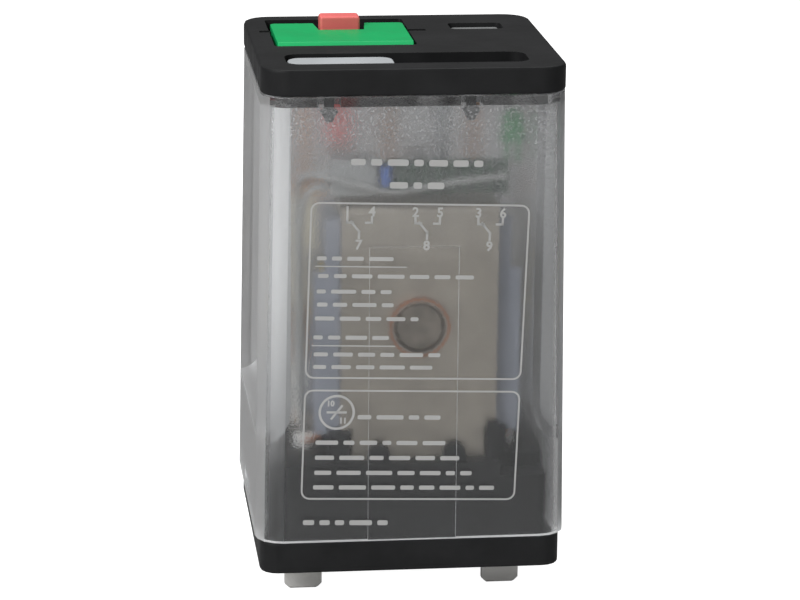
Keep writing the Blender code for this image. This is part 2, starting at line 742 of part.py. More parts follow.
def make_moving_contacts():
    """Three contact springs on the carrier, each with a two-headed silver contact near its lower end."""
    pieces = []
    for number, x in enumerate(CONTACT_COLUMNS, 1):
        low, high = SPRING_LEVELS
        stations = [
            (x - 1.3, x + 1.3, SPRING_PLANE, low),
            (x - 1.8, x + 1.8, SPRING_PLANE, low + 0.6),
            (x - 2.1, x + 2.1, SPRING_PLANE, 27.7),
            (x - 2.1, x + 2.1, SPRING_PLANE, high),
        ]
        spring = ribbon(f"moving_spring_{number}", stations, SPRING_THICKNESS, SPRING_COPPER)
        centre = (x, SPRING_PLANE, CONTACT_LEVEL)
        cut(spring, round_bar(f"contact_hole_{number}", centre, "Y", 0.85, 2.0, None, 12))
        head = CONTACT_RADIUS
        profile = [
            (0.0, 0.95),
            (head * 0.7, 0.9),
            (head, 0.7),
            (head, 0.35),
            (0.6, 0.35),
            (0.6, -0.35),
            (head, -0.35),
            (head, -0.7),
            (head * 0.7, -0.9),
            (0.0, -0.95),
        ]
        contact = turned(f"moving_contact_{number}", profile, "Y", centre, SILVER, 16)
        pieces += [spring, contact]
    return pieces


def blade_stations(x, y):
    """The plug-in end of every terminal, tip first."""
    half = BLADE_WIDTH / 2
    return [
        (x - half + BLADE_CHAMFER, x + half - BLADE_CHAMFER, y, BLADE_TIP),
        (x - half, x + half, y, BLADE_TIP + BLADE_CHAMFER),
    ]


def make_terminal(name, stations):
    """One terminal strip, with the coined line across its front that stops it at the underside of the base."""
    x = (stations[0][0] + stations[0][1]) / 2
    face = stations[0][2] - BLADE_THICKNESS / 2
    terminal = ribbon(name, stations, BLADE_THICKNESS, TINNED_BRASS)
    low = (x - BLADE_WIDTH, face - OVERSHOOT, STOP_LINE_LEVELS[0])
    high = (x + BLADE_WIDTH, face + STOP_LINE_DEPTH, STOP_LINE_LEVELS[1])
    cut(terminal, block(f"{name}_stop_line", low, high))


def make_fixed_terminals():
    """Normally-open and normally-closed terminals with their contacts, and the common terminals."""
    half = BLADE_WIDTH / 2
    narrow = 2.0
    for number, (x, column) in enumerate(zip(COLUMNS, CONTACT_COLUMNS), 1):
        middle = (x + column) / 2
        stations = [
            *blade_stations(x, OPEN_ROW),
            (x - half, x + half, OPEN_ROW, 13.9),
            (middle - 2.2, middle + 2.2, (OPEN_ROW + OPEN_PLANE) / 2, 14.9),
            (column - narrow, column + narrow, OPEN_PLANE, 15.9),
            (column - narrow, column + narrow, OPEN_PLANE, 21.7),
        ]
        make_terminal(f"open_terminal_{number}", stations)
        stations = [
            *blade_stations(x, CLOSED_ROW),
            (x - half, x + half, CLOSED_ROW, 14.5),
            (middle - 2.2, middle + 2.2, (CLOSED_ROW + CLOSED_PLANE) / 2, 15.9),
            (column - narrow, column + narrow, CLOSED_PLANE, 17.3),
            (column - narrow, column + narrow, CLOSED_PLANE, 22.7),
        ]
        make_terminal(f"closed_terminal_{number}", stations)
        contacts = (
            ("open_contact", OPEN_PLANE + BLADE_THICKNESS / 2 + 0.1, -1),
            ("closed_contact", CLOSED_PLANE - BLADE_THICKNESS / 2 - 0.1, 1),
        )
        for name, seat, towards in contacts:
            height = 0.5
            centre = (column, seat - towards * height / 2, CONTACT_LEVEL)
            disc = round_bar(f"{name}_{number}", centre, "Y", CONTACT_RADIUS + 0.1, height, SILVER)
            soften(disc, 0.12, 1)
        stations = [
            *blade_stations(x, COMMON_ROW),
            (x - half, x + half, COMMON_ROW, 12.3),
            (x - 1.2, x + 1.2, COMMON_ROW, 13.0),
            (x - 1.2, x + 1.2, COMMON_ROW, 15.3),
        ]
        make_terminal(f"common_terminal_{number}", stations)


def make_coil_terminals():
    half = BLADE_WIDTH / 2
    for word, x in (("a", COLUMNS[0]), ("b", COLUMNS[2])):
        stations = [
            *blade_stations(x, COIL_ROW),
            (x - half, x + half, COIL_ROW, 12.3),
            (x - 1.2, x + 1.2, COIL_ROW, 13.0),
            (x - 1.2, x + 1.2, COIL_ROW, 15.3),
        ]
        make_terminal(f"coil_terminal_{word}", stations)


def make_braids():
    """A copper braid from each common terminal, up behind the contacts, to the top of its contact spring."""
    radius = 0.6
    for number, (x, passage, column) in enumerate(zip(COLUMNS, (-7.6, 4.0, 7.6), CONTACT_COLUMNS), 1):
        inward = 1 if passage > x else -1
        start = COMMON_ROW - BLADE_THICKNESS / 2 - radius - 0.2
        points = [
            (x, start, 14.5),
            (x + inward * 2.4, start + 0.1, 14.4),
            (passage, 3.0, 14.4),
            (passage, 8.0, 14.7),
            (passage, 12.2, 17.2),
            ((passage + column) / 2, 13.2, 22.7),
            (column, 13.2, 30.7),
            (column, 13.2, 44.7),
            (column, 12.6, 51.7),
            (column, 10.9, 54.1),
            (column, 9.2, 51.7),
            (column, SPRING_PLANE + 0.15 + radius + 0.2, 43.9),
        ]
        wire(f"braid_{number}", smooth_route(points, 2), radius, SPRING_COPPER)


def make_return_spring():
    """An extension spring along the top of the yoke that pulls the armature's tab forward."""
    turns, per_turn, coil_radius = 7, 8, 1.0
    x = sum(TAB_SIDES) / 2
    z = 48.6
    back, front = 1.2, -4.3
    hook = PIVOT[1] + ARMATURE_THICKNESS + 0.6
    route = [(x, hook, z - 0.75), (x, hook, z), (x, back + 0.4, z)]
    steps = turns * per_turn
    for step in range(steps + 1):
        turn = math.radians(90) + 2 * math.pi * step / per_turn
        y = back + (front - back) * step / steps
        route.append((x + coil_radius * math.cos(turn), y, z + coil_radius * math.sin(turn)))
    route.append((x, front - 0.45, z + 0.9))
    wire("return_spring", route, 0.2, SPRING_STEEL)


def make_indicator():
    """The lamp, its series resistor and board above the coil, the anchor block, and the wires to the coil blades."""
    block("indicator_board", (-3.6, -8.6, 46.4), (12.6, -7.8, 50.6), BOARD_LAMINATE)
    resistor = round_bar("dropping_resistor", (-2.7, -9.6, 49.0), "Z", 0.65, 2.5, BLUE_LACQUER, 14)
    soften(resistor, 0.2, 2)
    anchor = block("wire_anchor_block", (-9.7, -9.6, 46.4), (-3.9, -6.0, 51.2), GREY_PLASTIC)
    soften(anchor, 0.3, 2)
    dome = [(1.4 * math.cos(math.radians(a)), 55.4 + 1.4 * math.sin(math.radians(a))) for a in (67, 45, 22, 0)]
    profile = [(0.0, 56.8), *dome, (1.4, 53.4), (1.6, 53.4), (1.6, 52.7), (0.0, 52.7)]
    lamp = turned("indicator_lamp", profile, "Z", (13.3, -7.0, 0.0), GREEN_PLASTIC, 16)
    legs = []
    for number, x in enumerate((12.6, 14.0)):
        legs.append(round_bar(f"lamp_leg_{number}", (x, -7.0, 51.5), "Z", 0.25, 3.0, None, 8))
    join(lamp, *legs)
    left_route = [
        (-10.2, -8.6, 47.5),
        (-12.2, -8.5, 46.9),
        (-13.2, -8.3, 42.7),
        (-13.2, -8.0, 30.7),
        (-13.0, -7.4, 19.7),
        (-12.7, -7.0, 15.8),
    ]
    wire("indicator_wire_a", smooth_route(left_route, 3), 0.4, WHITE_PLASTIC)
    right_route = [
        (12.2, -9.4, 48.7),
        (8.0, -9.5, 48.3),
        (4.0, -9.6, 47.8),
        (-1.5, -10.2, 47.0),
        (-4.5, -10.5, 47.6),
        (-9.0, -10.4, 48.8),
        (-12.0, -9.2, 49.2),
        (-13.2, -6.4, 47.6),
        (-13.3, -4.3, 42.7),
        (-13.2, -3.8, 30.7),
        (-13.0, -3.6, 20.7),
        (-11.2, -3.6, 15.3),
        (-7.0, -3.6, 14.7),
        (6.0, -3.6, 14.7),
        (10.6, -4.6, 14.8),
        (12.5, -5.8, 15.0),
    ]
    wire("indicator_wire_b", smooth_route(right_route, 2), 0.4, WHITE_PLASTIC)


def make_coil_leads():
    """The ends of the winding, brought down behind the front flange to the coil blades."""
    routes = {
        "a": [(-9.8, -8.7, 23.9), (-10.2, -8.7, 18.7), (-10.6, -8.6, 15.7), (-11.8, -8.2, 14.7), (-12.6, -7.85, 14.3)],
        "b": [(12.9, -8.7, 23.9), (13.3, -8.7, 18.7), (13.4, -8.6, 16.1), (13.1, -8.2, 15.1), (12.8, -7.85, 14.4)],
    }
    for word, points in routes.items():
        wire(f"coil_lead_{word}", smooth_route(points, 2), 0.3, COPPER)


clear_scene()
relay = new_collection("plug_in_relay")
helpers = new_collection("helpers")
make_cover()
make_base()
make_top_cap()
make_door()
make_button()
make_tag_and_lens()
make_yoke()
make_coil()
moving = make_armature() + make_moving_contacts()
hang_on("armature_pivot", PIVOT, moving)
make_fixed_terminals()
make_coil_terminals()
make_braids()
make_return_spring()
make_indicator()
make_coil_leads()
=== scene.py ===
"""The looks of the plug-in control relay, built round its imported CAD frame.

+Z is up and -Y is the front, the coil side. Lengths here are millimetres, and MM turns them into metres.
"""

import json
import math
import random

import bmesh
import bpy
from mathutils import Matrix, Vector


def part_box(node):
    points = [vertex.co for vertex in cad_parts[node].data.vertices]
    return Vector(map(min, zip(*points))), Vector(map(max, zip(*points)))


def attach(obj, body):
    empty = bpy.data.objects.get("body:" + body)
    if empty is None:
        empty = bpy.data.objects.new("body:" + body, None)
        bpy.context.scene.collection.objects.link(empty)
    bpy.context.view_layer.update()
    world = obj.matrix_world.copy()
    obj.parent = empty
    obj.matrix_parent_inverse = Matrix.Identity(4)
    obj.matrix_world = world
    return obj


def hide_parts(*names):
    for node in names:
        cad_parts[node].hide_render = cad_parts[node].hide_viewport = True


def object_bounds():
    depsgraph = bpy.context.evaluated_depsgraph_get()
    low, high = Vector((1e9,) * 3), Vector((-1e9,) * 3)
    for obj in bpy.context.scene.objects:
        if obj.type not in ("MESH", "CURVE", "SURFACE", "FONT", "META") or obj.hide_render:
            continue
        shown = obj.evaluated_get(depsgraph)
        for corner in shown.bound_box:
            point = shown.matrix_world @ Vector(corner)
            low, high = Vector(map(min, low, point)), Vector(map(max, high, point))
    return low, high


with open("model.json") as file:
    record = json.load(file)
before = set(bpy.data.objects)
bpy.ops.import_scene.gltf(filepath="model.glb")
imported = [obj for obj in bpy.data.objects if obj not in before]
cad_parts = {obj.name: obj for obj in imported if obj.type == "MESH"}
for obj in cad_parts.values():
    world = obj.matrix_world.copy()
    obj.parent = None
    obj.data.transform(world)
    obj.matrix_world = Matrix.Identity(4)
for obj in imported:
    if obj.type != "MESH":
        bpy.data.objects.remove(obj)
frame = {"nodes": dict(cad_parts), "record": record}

MM = 0.001
POLES = (1, 2, 3)
cad_low, cad_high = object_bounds()
BODY_OF = {node: body for body, nodes in frame["record"]["behaviour"]["bodies"].items() for node in nodes}
SLOT_OF = {part["node"]: part["material_slot"] for part in frame["record"]["subparts"]}


def box_mm(node):
    """Lowest and highest corner of a CAD node, in millimetres."""
    low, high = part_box(node)
    return low / MM, high / MM


# Materials -----------------------------------------------------------------------------------------------

# A pattern's values from the first to the second of these span the whole change that it drives.
VARIED_BETWEEN = (0.3, 0.7)
TINTED_BETWEEN = (0.35, 0.65)


def new_look(name, colour, roughness, metallic=0.0, **sockets):
    """A Principled material. Even values go straight onto the shader's sockets."""
    made = bpy.data.materials.new(name)
    made.use_nodes = True
    shader = made.node_tree.nodes["Principled BSDF"]
    shader.inputs["Base Color"].default_value = (*colour, 1.0)
    shader.inputs["Roughness"].default_value = roughness
    shader.inputs["Metallic"].default_value = metallic
    for socket, value in sockets.items():
        shader.inputs[socket.replace("_", " ")].default_value = value
    return made, made.node_tree, shader


def places(tree, stretch=(1.0, 1.0, 1.0)):
    """The object's own coordinates in metres, scaled along each axis."""
    coordinates = tree.nodes.new("ShaderNodeTexCoord")
    mapping = tree.nodes.new("ShaderNodeMapping")
    mapping.inputs["Scale"].default_value = stretch
    tree.links.new(coordinates.outputs["Object"], mapping.inputs["Vector"])
    return mapping.outputs["Vector"]


def noise(tree, grain, detail, stretch=(1.0, 1.0, 1.0)):
    """Noise whose features are about grain millimetres across."""
    texture = tree.nodes.new("ShaderNodeTexNoise")
    texture.inputs["Scale"].default_value = 1.0 / (grain * MM)
    texture.inputs["Detail"].default_value = detail
    tree.links.new(places(tree, stretch), texture.inputs["Vector"])
    return texture.outputs["Fac"]


def waves(tree, pitch, axis, distortion):
    """Parallel ridges, pitch millimetres apart."""
    texture = tree.nodes.new("ShaderNodeTexWave")
    texture.bands_direction = axis
    # One wave of Blender's texture is 2 pi / 20 units long at scale 1.
    texture.inputs["Scale"].default_value = 2 * math.pi / 20 / (pitch * MM)
    texture.inputs["Distortion"].default_value = distortion
    tree.links.new(places(tree), texture.inputs["Vector"])
    return texture.outputs["Fac"]


def vary(tree, source, target, low, high):
    """Drives a number between low and high from a pattern."""
    spread = tree.nodes.new("ShaderNodeMapRange")
    spread.inputs["From Min"].default_value, spread.inputs["From Max"].default_value = VARIED_BETWEEN
    spread.inputs["To Min"].default_value = low
    spread.inputs["To Max"].default_value = high
    tree.links.new(source, spread.inputs["Value"])
    tree.links.new(spread.outputs["Result"], target)


def tint(tree, source, target, dark, light):
    """Drives a colour between two from a pattern."""
    ramp = tree.nodes.new("ShaderNodeValToRGB")
    for stop, position, colour in zip(ramp.color_ramp.elements, TINTED_BETWEEN, (dark, light)):
        stop.position = position
        stop.color = (*colour, 1.0)
    tree.links.new(source, ramp.inputs["Fac"])
    tree.links.new(ramp.outputs["Color"], target)


def emboss(tree, shader, source, height):
    """Bumps a surface by a pattern, height millimetres deep."""
    bump = tree.nodes.new("ShaderNodeBump")
    bump.inputs["Strength"].default_value = 1.0
    bump.inputs["Distance"].default_value = height * MM
    tree.links.new(source, bump.inputs["Height"])
    tree.links.new(bump.outputs["Normal"], shader.inputs["Normal"])


def shade(colour, factor):
    """The colour made darker or lighter."""
    return tuple(part * factor for part in colour)


def moulded(name, colour, roughness, grain, depth, contrast, **sockets):
    """Moulded plastic: a fine spark-eroded grain, slow changes of gloss, and slightly uneven pigment."""
    made, tree, shader = new_look(name, colour, roughness, **sockets)
    pigment = noise(tree, grain=6.0, detail=4.0)
    tint(tree, pigment, shader.inputs["Base Color"], shade(colour, 1 - contrast), shade(colour, 1 + contrast))
    gloss = noise(tree, grain=2.5, detail=5.0)
    vary(tree, gloss, shader.inputs["Roughness"], roughness - 0.06, roughness + 0.08)
    emboss(tree, shader, noise(tree, grain, detail=2.0), depth)
    return made


LINE_STRETCH = 0.04


def metal(name, colour, roughness, along, depth, contrast, metallic=1.0):
    """Rolled or drawn metal: fine lines along one axis and cloudy plating."""
    made, tree, shader = new_look(name, colour, roughness, metallic)
    stretch = tuple(LINE_STRETCH if axis == along else 1.0 for axis in "XYZ")
    lines = noise(tree, grain=0.12, detail=3.0, stretch=stretch)
    cloud = noise(tree, grain=3.0, detail=4.0)
    tint(tree, cloud, shader.inputs["Base Color"], shade(colour, 1 - contrast), shade(colour, 1 + contrast))
    vary(tree, lines, shader.inputs["Roughness"], roughness - 0.08, roughness + 0.1)
    emboss(tree, shader, lines, depth)
    return made


CLEAR_TINT = (0.76, 0.765, 0.77)
LAMP_RAY_TINT = (0.86, 0.87, 0.88, 1.0)
SPECK_GRAIN = 0.28

# How light the cover's haze is: in clear walls and in sides painted as shaded, in sides painted as lit, along
# thin edges painted with a bright line, and where highlights and glints are painted.
HAZE_GREY = 0.42
LIT_SIDE_GREY = 0.52
EDGE_HIGHLIGHT_GREY = 0.75
PAINTED_HIGHLIGHT_GREY = 0.90


def height_share(tree, levels):
    """Rises from 0 to 1 between two levels of the object, in millimetres."""
    parts = tree.nodes.new("ShaderNodeSeparateXYZ")
    tree.links.new(places(tree), parts.inputs["Vector"])
    share = tree.nodes.new("ShaderNodeMapRange")
    for socket, level in zip(("From Min", "From Max"), levels):
        share.inputs[socket].default_value = level * MM
    tree.links.new(parts.outputs["Z"], share.inputs["Value"])
    return share.outputs["Result"]


def clear_cover_look(name, roughness, haze, grey, grain, depth, painted_light_levels=None, painted_speckle=0.8):
    """Smoky polycarbonate: real refraction, a little haze, and a surface that is wavy or finely stippled.

    The haze is even. When levels are given, it is broken into specks and grows from nothing to its full share
    between them, which paints light and glints onto the cover.
    Lamps' rays pass as if through a clear sheet, so that they light what is inside.
    """
    made, tree, glass = new_look(name, CLEAR_TINT, roughness, IOR=1.585, Transmission_Weight=1.0)
    emboss(tree, glass, noise(tree, grain, detail=1.0), depth)
    cloud = tree.nodes.new("ShaderNodeBsdfDiffuse")
    cloud.inputs["Color"].default_value = (grey, grey, grey, 1.0)
    hazy = tree.nodes.new("ShaderNodeMixShader")
    hazy.inputs["Fac"].default_value = haze
    if painted_light_levels:
        scaled = tree.nodes.new("ShaderNodeMath")
        scaled.operation = "MULTIPLY"
        specks = noise(tree, SPECK_GRAIN, detail=1.0)
        vary(tree, specks, scaled.inputs[0], haze * (1 - painted_speckle), haze * (1 + painted_speckle))
        tree.links.new(height_share(tree, painted_light_levels), scaled.inputs[1])
        tree.links.new(scaled.outputs["Value"], hazy.inputs["Fac"])
    tree.links.new(glass.outputs["BSDF"], hazy.inputs[1])
    tree.links.new(cloud.outputs["BSDF"], hazy.inputs[2])
    lamp_rays = tree.nodes.new("ShaderNodeBsdfTransparent")
    lamp_rays.inputs["Color"].default_value = LAMP_RAY_TINT
    path = tree.nodes.new("ShaderNodeLightPath")
    either = tree.nodes.new("ShaderNodeMixShader")
    tree.links.new(path.outputs["Is Shadow Ray"], either.inputs["Fac"])
    tree.links.new(hazy.outputs["Shader"], either.inputs[1])
    tree.links.new(lamp_rays.outputs["BSDF"], either.inputs[2])
    tree.links.new(either.outputs["Shader"], tree.nodes["Material Output"].inputs["Surface"])
    return made


def lamp_look():
    """Green tinted epoxy, slightly cloudy."""
    made, tree, shader = new_look(
        "green_epoxy", (0.05, 0.55, 0.16), 0.15, IOR=1.5, Transmission_Weight=0.6, Coat_Weight=0.3
    )
    emboss(tree, shader, noise(tree, grain=0.8, detail=2.0), 0.01)
    return made


def turned_look(name, colour, roughness, depth=0.006):
    """A faced metal end: a fine cut surface under a cloudy tarnish."""
    made, tree, shader = new_look(name, colour, roughness, 1.0)
    cloud = noise(tree, grain=1.6, detail=4.0)
    tint(tree, cloud, shader.inputs["Base Color"], shade(colour, 0.82), shade(colour, 1.15))
    vary(tree, cloud, shader.inputs["Roughness"], roughness - 0.05, roughness + 0.12)
    emboss(tree, shader, noise(tree, grain=0.2, detail=4.0), depth)
    return made


def laminate_look():
    """Dark green solder mask with faint tracks under it."""
    made, tree, shader = new_look("solder_mask", (0.02, 0.05, 0.03), 0.32)
    tracks = waves(tree, 1.6, "X", distortion=2.0)
    tint(tree, tracks, shader.inputs["Base Color"], (0.012, 0.03, 0.02), (0.03, 0.075, 0.04))
    emboss(tree, shader, tracks, 0.01)
    return made


def resistor_look():
    """Blue lacquer over a ceramic body, with plain colour bands along its length."""
    made, tree, shader = new_look("blue_lacquer", (0.05, 0.14, 0.45), 0.3)
    bands = waves(tree, 0.62, "Z", distortion=0.0)
    tint(tree, bands, shader.inputs["Base Color"], (0.04, 0.12, 0.42), (0.10, 0.20, 0.55))
    emboss(tree, shader, noise(tree, grain=0.4, detail=2.0), 0.006)
    return made


# After their name and colour, moulded looks give roughness, the grain's size and depth, and how much the
# pigment varies. Metals give roughness, the axis and depth of their lines, how much the plating varies and,
# where it isn't 1, how metallic they are.
LOOKS = {
    "black_plastic": moulded(
        "black_plastic_moulded", (0.0148, 0.0152, 0.0160), 0.56, 0.20, 0.010, 0.18, Specular_IOR_Level=0.24
    ),
    "clear_plastic": clear_cover_look(
        "smoky_polycarbonate", roughness=0.04, haze=0.015, grey=HAZE_GREY, grain=14.0, depth=0.03
    ),
    "green_plastic": moulded(
        "green_plastic_moulded", (0.006, 0.46, 0.135), 0.40, 0.20, 0.005, 0.05, Specular_IOR_Level=0.2
    ),
    "red_plastic": moulded("red_plastic_moulded", (1.0, 0.20, 0.19), 0.42, 0.20, 0.005, 0.06),
    "white_plastic": moulded("white_plastic_moulded", (0.54, 0.565, 0.585), 0.38, 0.25, 0.004, 0.03),
    "lamp_green": lamp_look(),
    "lens_grey": moulded("grey_lens_moulded", (0.30, 0.31, 0.31), 0.25, 0.35, 0.006, 0.08),
    "bobbin_plastic": moulded("bobbin_nylon", (0.285, 0.30, 0.345), 0.45, 0.30, 0.008, 0.08),
    "carrier_plastic": moulded("carrier_thermoset", (0.62, 0.57, 0.46), 0.5, 0.25, 0.008, 0.08),
    "grey_plastic": moulded("grey_insulator", (0.34, 0.345, 0.34), 0.42, 0.25, 0.007, 0.08),
    "blue_lacquer": resistor_look(),
    "board_laminate": laminate_look(),
    "tape": moulded("amber_tape", (0.62, 0.47, 0.14), 0.28, 1.2, 0.02, 0.12, Coat_Weight=0.4),
    "wire_jacket": moulded("wire_insulation", (0.36, 0.36, 0.35), 0.38, 0.4, 0.004, 0.05),
    "blade_metal": metal("tin_plated_brass", (0.95, 0.94, 0.91), 0.42, "Z", 0.004, 0.05, 0.45),
    "plated_steel": metal("zinc_plated_iron", (0.52, 0.475, 0.41), 0.42, "Z", 0.004, 0.07),
    "iron": turned_look("soft_iron", (0.34, 0.30, 0.255), 0.34),
    "spring_wire": metal("drawn_spring_wire", (0.62, 0.62, 0.62), 0.25, "Y", 0.002, 0.05),
    "copper": metal("enamelled_copper", (0.66, 0.30, 0.18), 0.34, "Z", 0.003, 0.1),
    "spring_copper": metal("spring_copper_alloy", (0.74, 0.45, 0.28), 0.28, "Z", 0.003, 0.08),
    "silver": turned_look("silver_alloy", (0.84, 0.83, 0.80), 0.24, 0.003),
}

# The stipple of the inside is real. The light haze in specks that grows towards the top is painted glints and
# sheen of the lamps on it.
STIPPLED_INSIDE_PAINTED_GLINTS = clear_cover_look(
    "stippled_polycarbonate_painted_glints",
    roughness=0.24,
    haze=0.17,
    grey=PAINTED_HIGHLIGHT_GREY,
    grain=0.28,
    depth=0.026,
    painted_light_levels=(38.0, 57.0),
)
# Painted light: the cover's left sides and grips get more and lighter haze, as if lit by the key lamp on the
# left.
LIT_SIDE_PAINTED = clear_cover_look(
    "painted_lit_side_polycarbonate", roughness=0.40, haze=0.45, grey=LIT_SIDE_GREY, grain=0.8, depth=0.004
)
# A painted highlight: the end wall of the left front pillar gets light haze that grows upwards, where the key
# lamp lights it.
PILLAR_END_HIGHLIGHT = clear_cover_look(
    "painted_pillar_end_highlight",
    roughness=0.34,
    haze=0.43,
    grey=PAINTED_HIGHLIGHT_GREY,
    grain=0.5,
    depth=0.006,
    painted_light_levels=(14.0, 38.0),
    painted_speckle=0.2,
)
# Painted shade: the right sides and grips get less haze, as if left in shade by the key lamp.
SHADED_SIDE_PAINTED = clear_cover_look(
    "painted_shaded_side_polycarbonate", roughness=0.35, haze=0.20, grey=HAZE_GREY, grain=0.8, depth=0.004
)
# A painted highlight: the rim and the panel's steps are hazy and light, standing in for the bright lines
# along the cover's thick edges.
PAINTED_EDGE_HIGHLIGHT = clear_cover_look(
    "painted_edge_highlight_polycarbonate", roughness=0.30, haze=0.70, grey=EDGE_HIGHLIGHT_GREY, grain=0.5, depth=0.01
)
PRINT_INK = moulded("printed_ink", (0.52, 0.52, 0.51), 0.5, 0.3, 0.002, 0.04)


# Pieces --------------------------------------------------------------------------------------------------

# Corners closer together than this are one corner, and triangles within this angle are one flat face.
MERGED_WITHIN = 0.001
FLAT_WITHIN = math.radians(0.5)


def place_mesh(name, mesh, body, look):
    """Adds a finished mesh, in the frame's coordinates, as a piece that rides on a body."""
    piece = bpy.data.objects.new(name, mesh)
    bpy.context.scene.collection.objects.link(piece)
    mesh.materials.append(LOOKS[look])
    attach(piece, body)
    return piece


def smooth(mesh, angle=35):
    """Shades a mesh smoothly, except over edges sharper than angle degrees."""
    mesh.shade_smooth()
    mesh.set_sharp_from_angle(angle=math.radians(angle))


def even_normals(piece):
    """Keeps broad flat faces flat beside their rounded edges."""
    weighted = piece.modifiers.new("even normals", "WEIGHTED_NORMAL")
    weighted.keep_sharp = True


def mesh_of(name, shape):
    """The working shape as a mesh whose faces look outwards."""
    mesh = bpy.data.meshes.new(name)
    bmesh.ops.recalc_face_normals(shape, faces=shape.faces)
    shape.to_mesh(mesh)
    shape.free()
    return mesh


def cad_shape(node):
    """The CAD node's surface with its triangles merged back into whole faces."""
    shape = bmesh.new()
    shape.from_mesh(frame["nodes"][node].data)
    bmesh.ops.remove_doubles(shape, verts=shape.verts, dist=MERGED_WITHIN * MM)
    bmesh.ops.dissolve_limit(shape, angle_limit=FLAT_WITHIN, verts=shape.verts, edges=shape.edges)
    return shape


def edge_angle(edge):
    """The angle between an edge's two faces. A loose edge counts as flat."""
    return edge.calc_face_angle(0.0) if len(edge.link_faces) == 2 else 0.0


def round_edges(shape, width, steps, angle, chosen=None):
    """Rounds the edges sharper than angle degrees, or those of them that chosen accepts."""
    limit = math.radians(angle)
    edges = [edge for edge in shape.edges if edge_angle(edge) > limit and (chosen is None or chosen(edge))]
    bmesh.ops.bevel(
        shape, geom=edges, offset=width * MM, segments=steps, profile=0.5, affect="EDGES", clamp_overlap=True
    )


def stand_for(node, shape):
    """Turns a node's reworked shape into the smooth piece that stands for the node."""
    mesh = mesh_of(f"{node}_fine", shape)
    smooth(mesh)
    piece = place_mesh(f"{node}_fine", mesh, BODY_OF[node], SLOT_OF[node])
    even_normals(piece)
    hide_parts(node)
    return piece


def refined(node, width=0.12, steps=2, angle=30):
    """The CAD node's own shape with rounded edges. Width 0 leaves the edges as they are."""
    shape = cad_shape(node)
    if width:
        round_edges(shape, width, steps, angle)
    return stand_for(node, shape)


def smooth_route(points, steps):
    """Points read from a Catmull-Rom curve through the route's own points."""
    route = [Vector(point) for point in points]
    ends = [2 * route[0] - route[1], *route, 2 * route[-1] - route[-2]]
    read = []
    for before, start, end, after in zip(ends, ends[1:], ends[2:], ends[3:]):
        for step in range(steps):
            t = step / steps
            read.append(
                0.5
                * (
                    2 * start
                    + (end - before) * t
                    + (2 * before - 5 * start + 4 * end - after) * t**2
                    + (3 * start - before - 3 * end + after) * t**3
                )
            )
    return [*read, route[-1]]


def evaluated_mesh(name, curve):
    """The mesh that Blender makes of a curve or text."""
    drawn = bpy.data.objects.new(name, curve)
    bpy.context.scene.collection.objects.link(drawn)
    mesh = bpy.data.meshes.new_from_object(drawn.evaluated_get(bpy.context.evaluated_depsgraph_get()))
    bpy.data.objects.remove(drawn)
    return mesh


def tube_mesh(name, routes, radius, sides):
    """One mesh of round wires along routes, from a bevelled curve."""
    curve = bpy.data.curves.new(name, "CURVE")
    curve.dimensions = "3D"
    curve.bevel_depth = radius * MM
    curve.bevel_resolution = max(0, (sides - 4) // 2)
    curve.use_fill_caps = True
    for route in routes:
        spline = curve.splines.new("POLY")
        spline.points.add(len(route) - 1)
        for point, place in zip(spline.points, route):
            point.co = (*(Vector(place) * MM), 1.0)
    mesh = evaluated_mesh(name, curve)
    shape = bmesh.new()
    shape.from_mesh(mesh)
    bmesh.ops.remove_doubles(shape, verts=shape.verts, dist=MERGED_WITHIN * MM / 10)
    bpy.data.meshes.remove(mesh)
    mesh = mesh_of(name, shape)
    smooth(mesh, angle=50)
    return mesh


def lathe_mesh(name, profile, centre, steps):
    """A closed ring turned about a line along Y through centre, an (x, z). Profile points are (radius, y)."""
    shape = bmesh.new()
    rings = []
    for step in range(steps):
        turn = 2 * math.pi * step / steps
        ring = []
        for radius, y in profile:
            place = Vector((centre[0] + radius * math.cos(turn), y, centre[1] + radius * math.sin(turn)))
            ring.append(shape.verts.new(place * MM))
        rings.append(ring)
    for ring, following in zip(rings, [*rings[1:], rings[0]]):
        for number in range(len(profile)):
            other = (number + 1) % len(profile)
            shape.faces.new((ring[number], ring[other], following[other], following[number]))
    return mesh_of(name, shape)


# The CAD's own pieces, refined ---------------------------------------------------------------------------

# The finger recesses lie beyond this x, within this y and above this level.
GRIP_X, GRIP_Y, GRIP_Z = 15.6, 15.2, 16.6
# The short steps at the sides of the front panel lie within this x and beyond this y.
PANEL_STEP_X, PANEL_STEP_Y = 6.5, 16.0
# The end wall of the left front pillar lies beyond this x and between these values of y.
PILLAR_X = -14.5
PILLAR_Y = (-16.9, -14.0)
# A face is taken to face an axis from this part of its normal on, and is looked up this far in front of it.
FACING = 0.7
FACE_STEP = 0.2
# Inside means this far within the outer walls and this far under the roof. The rim is this high.
WALL_DEPTH = 0.6
ROOF_DEPTH = 0.9
RIM_HEIGHT = 0.1


def cover_ends():
    """The cover's bottom and top level, each with the half width and half depth of its outside there."""
    low, high = box_mm("cover")
    corners = [vertex.co / MM for vertex in frame["nodes"]["cover"].data.vertices]
    upper = [corner for corner in corners if corner.z > high.z - 0.01]
    top = (max(corner.x for corner in upper), max(corner.y for corner in upper))
    return (low.z, (high.x, high.y)), (high.z, top)


def cover_halves(ends, z):
    """Half width and half depth of the cover's slightly flared outside at a level."""
    (low, bottom), (high, top) = ends
    part = (high - z) / (high - low)
    return [above + (below - above) * part for above, below in zip(top, bottom)]


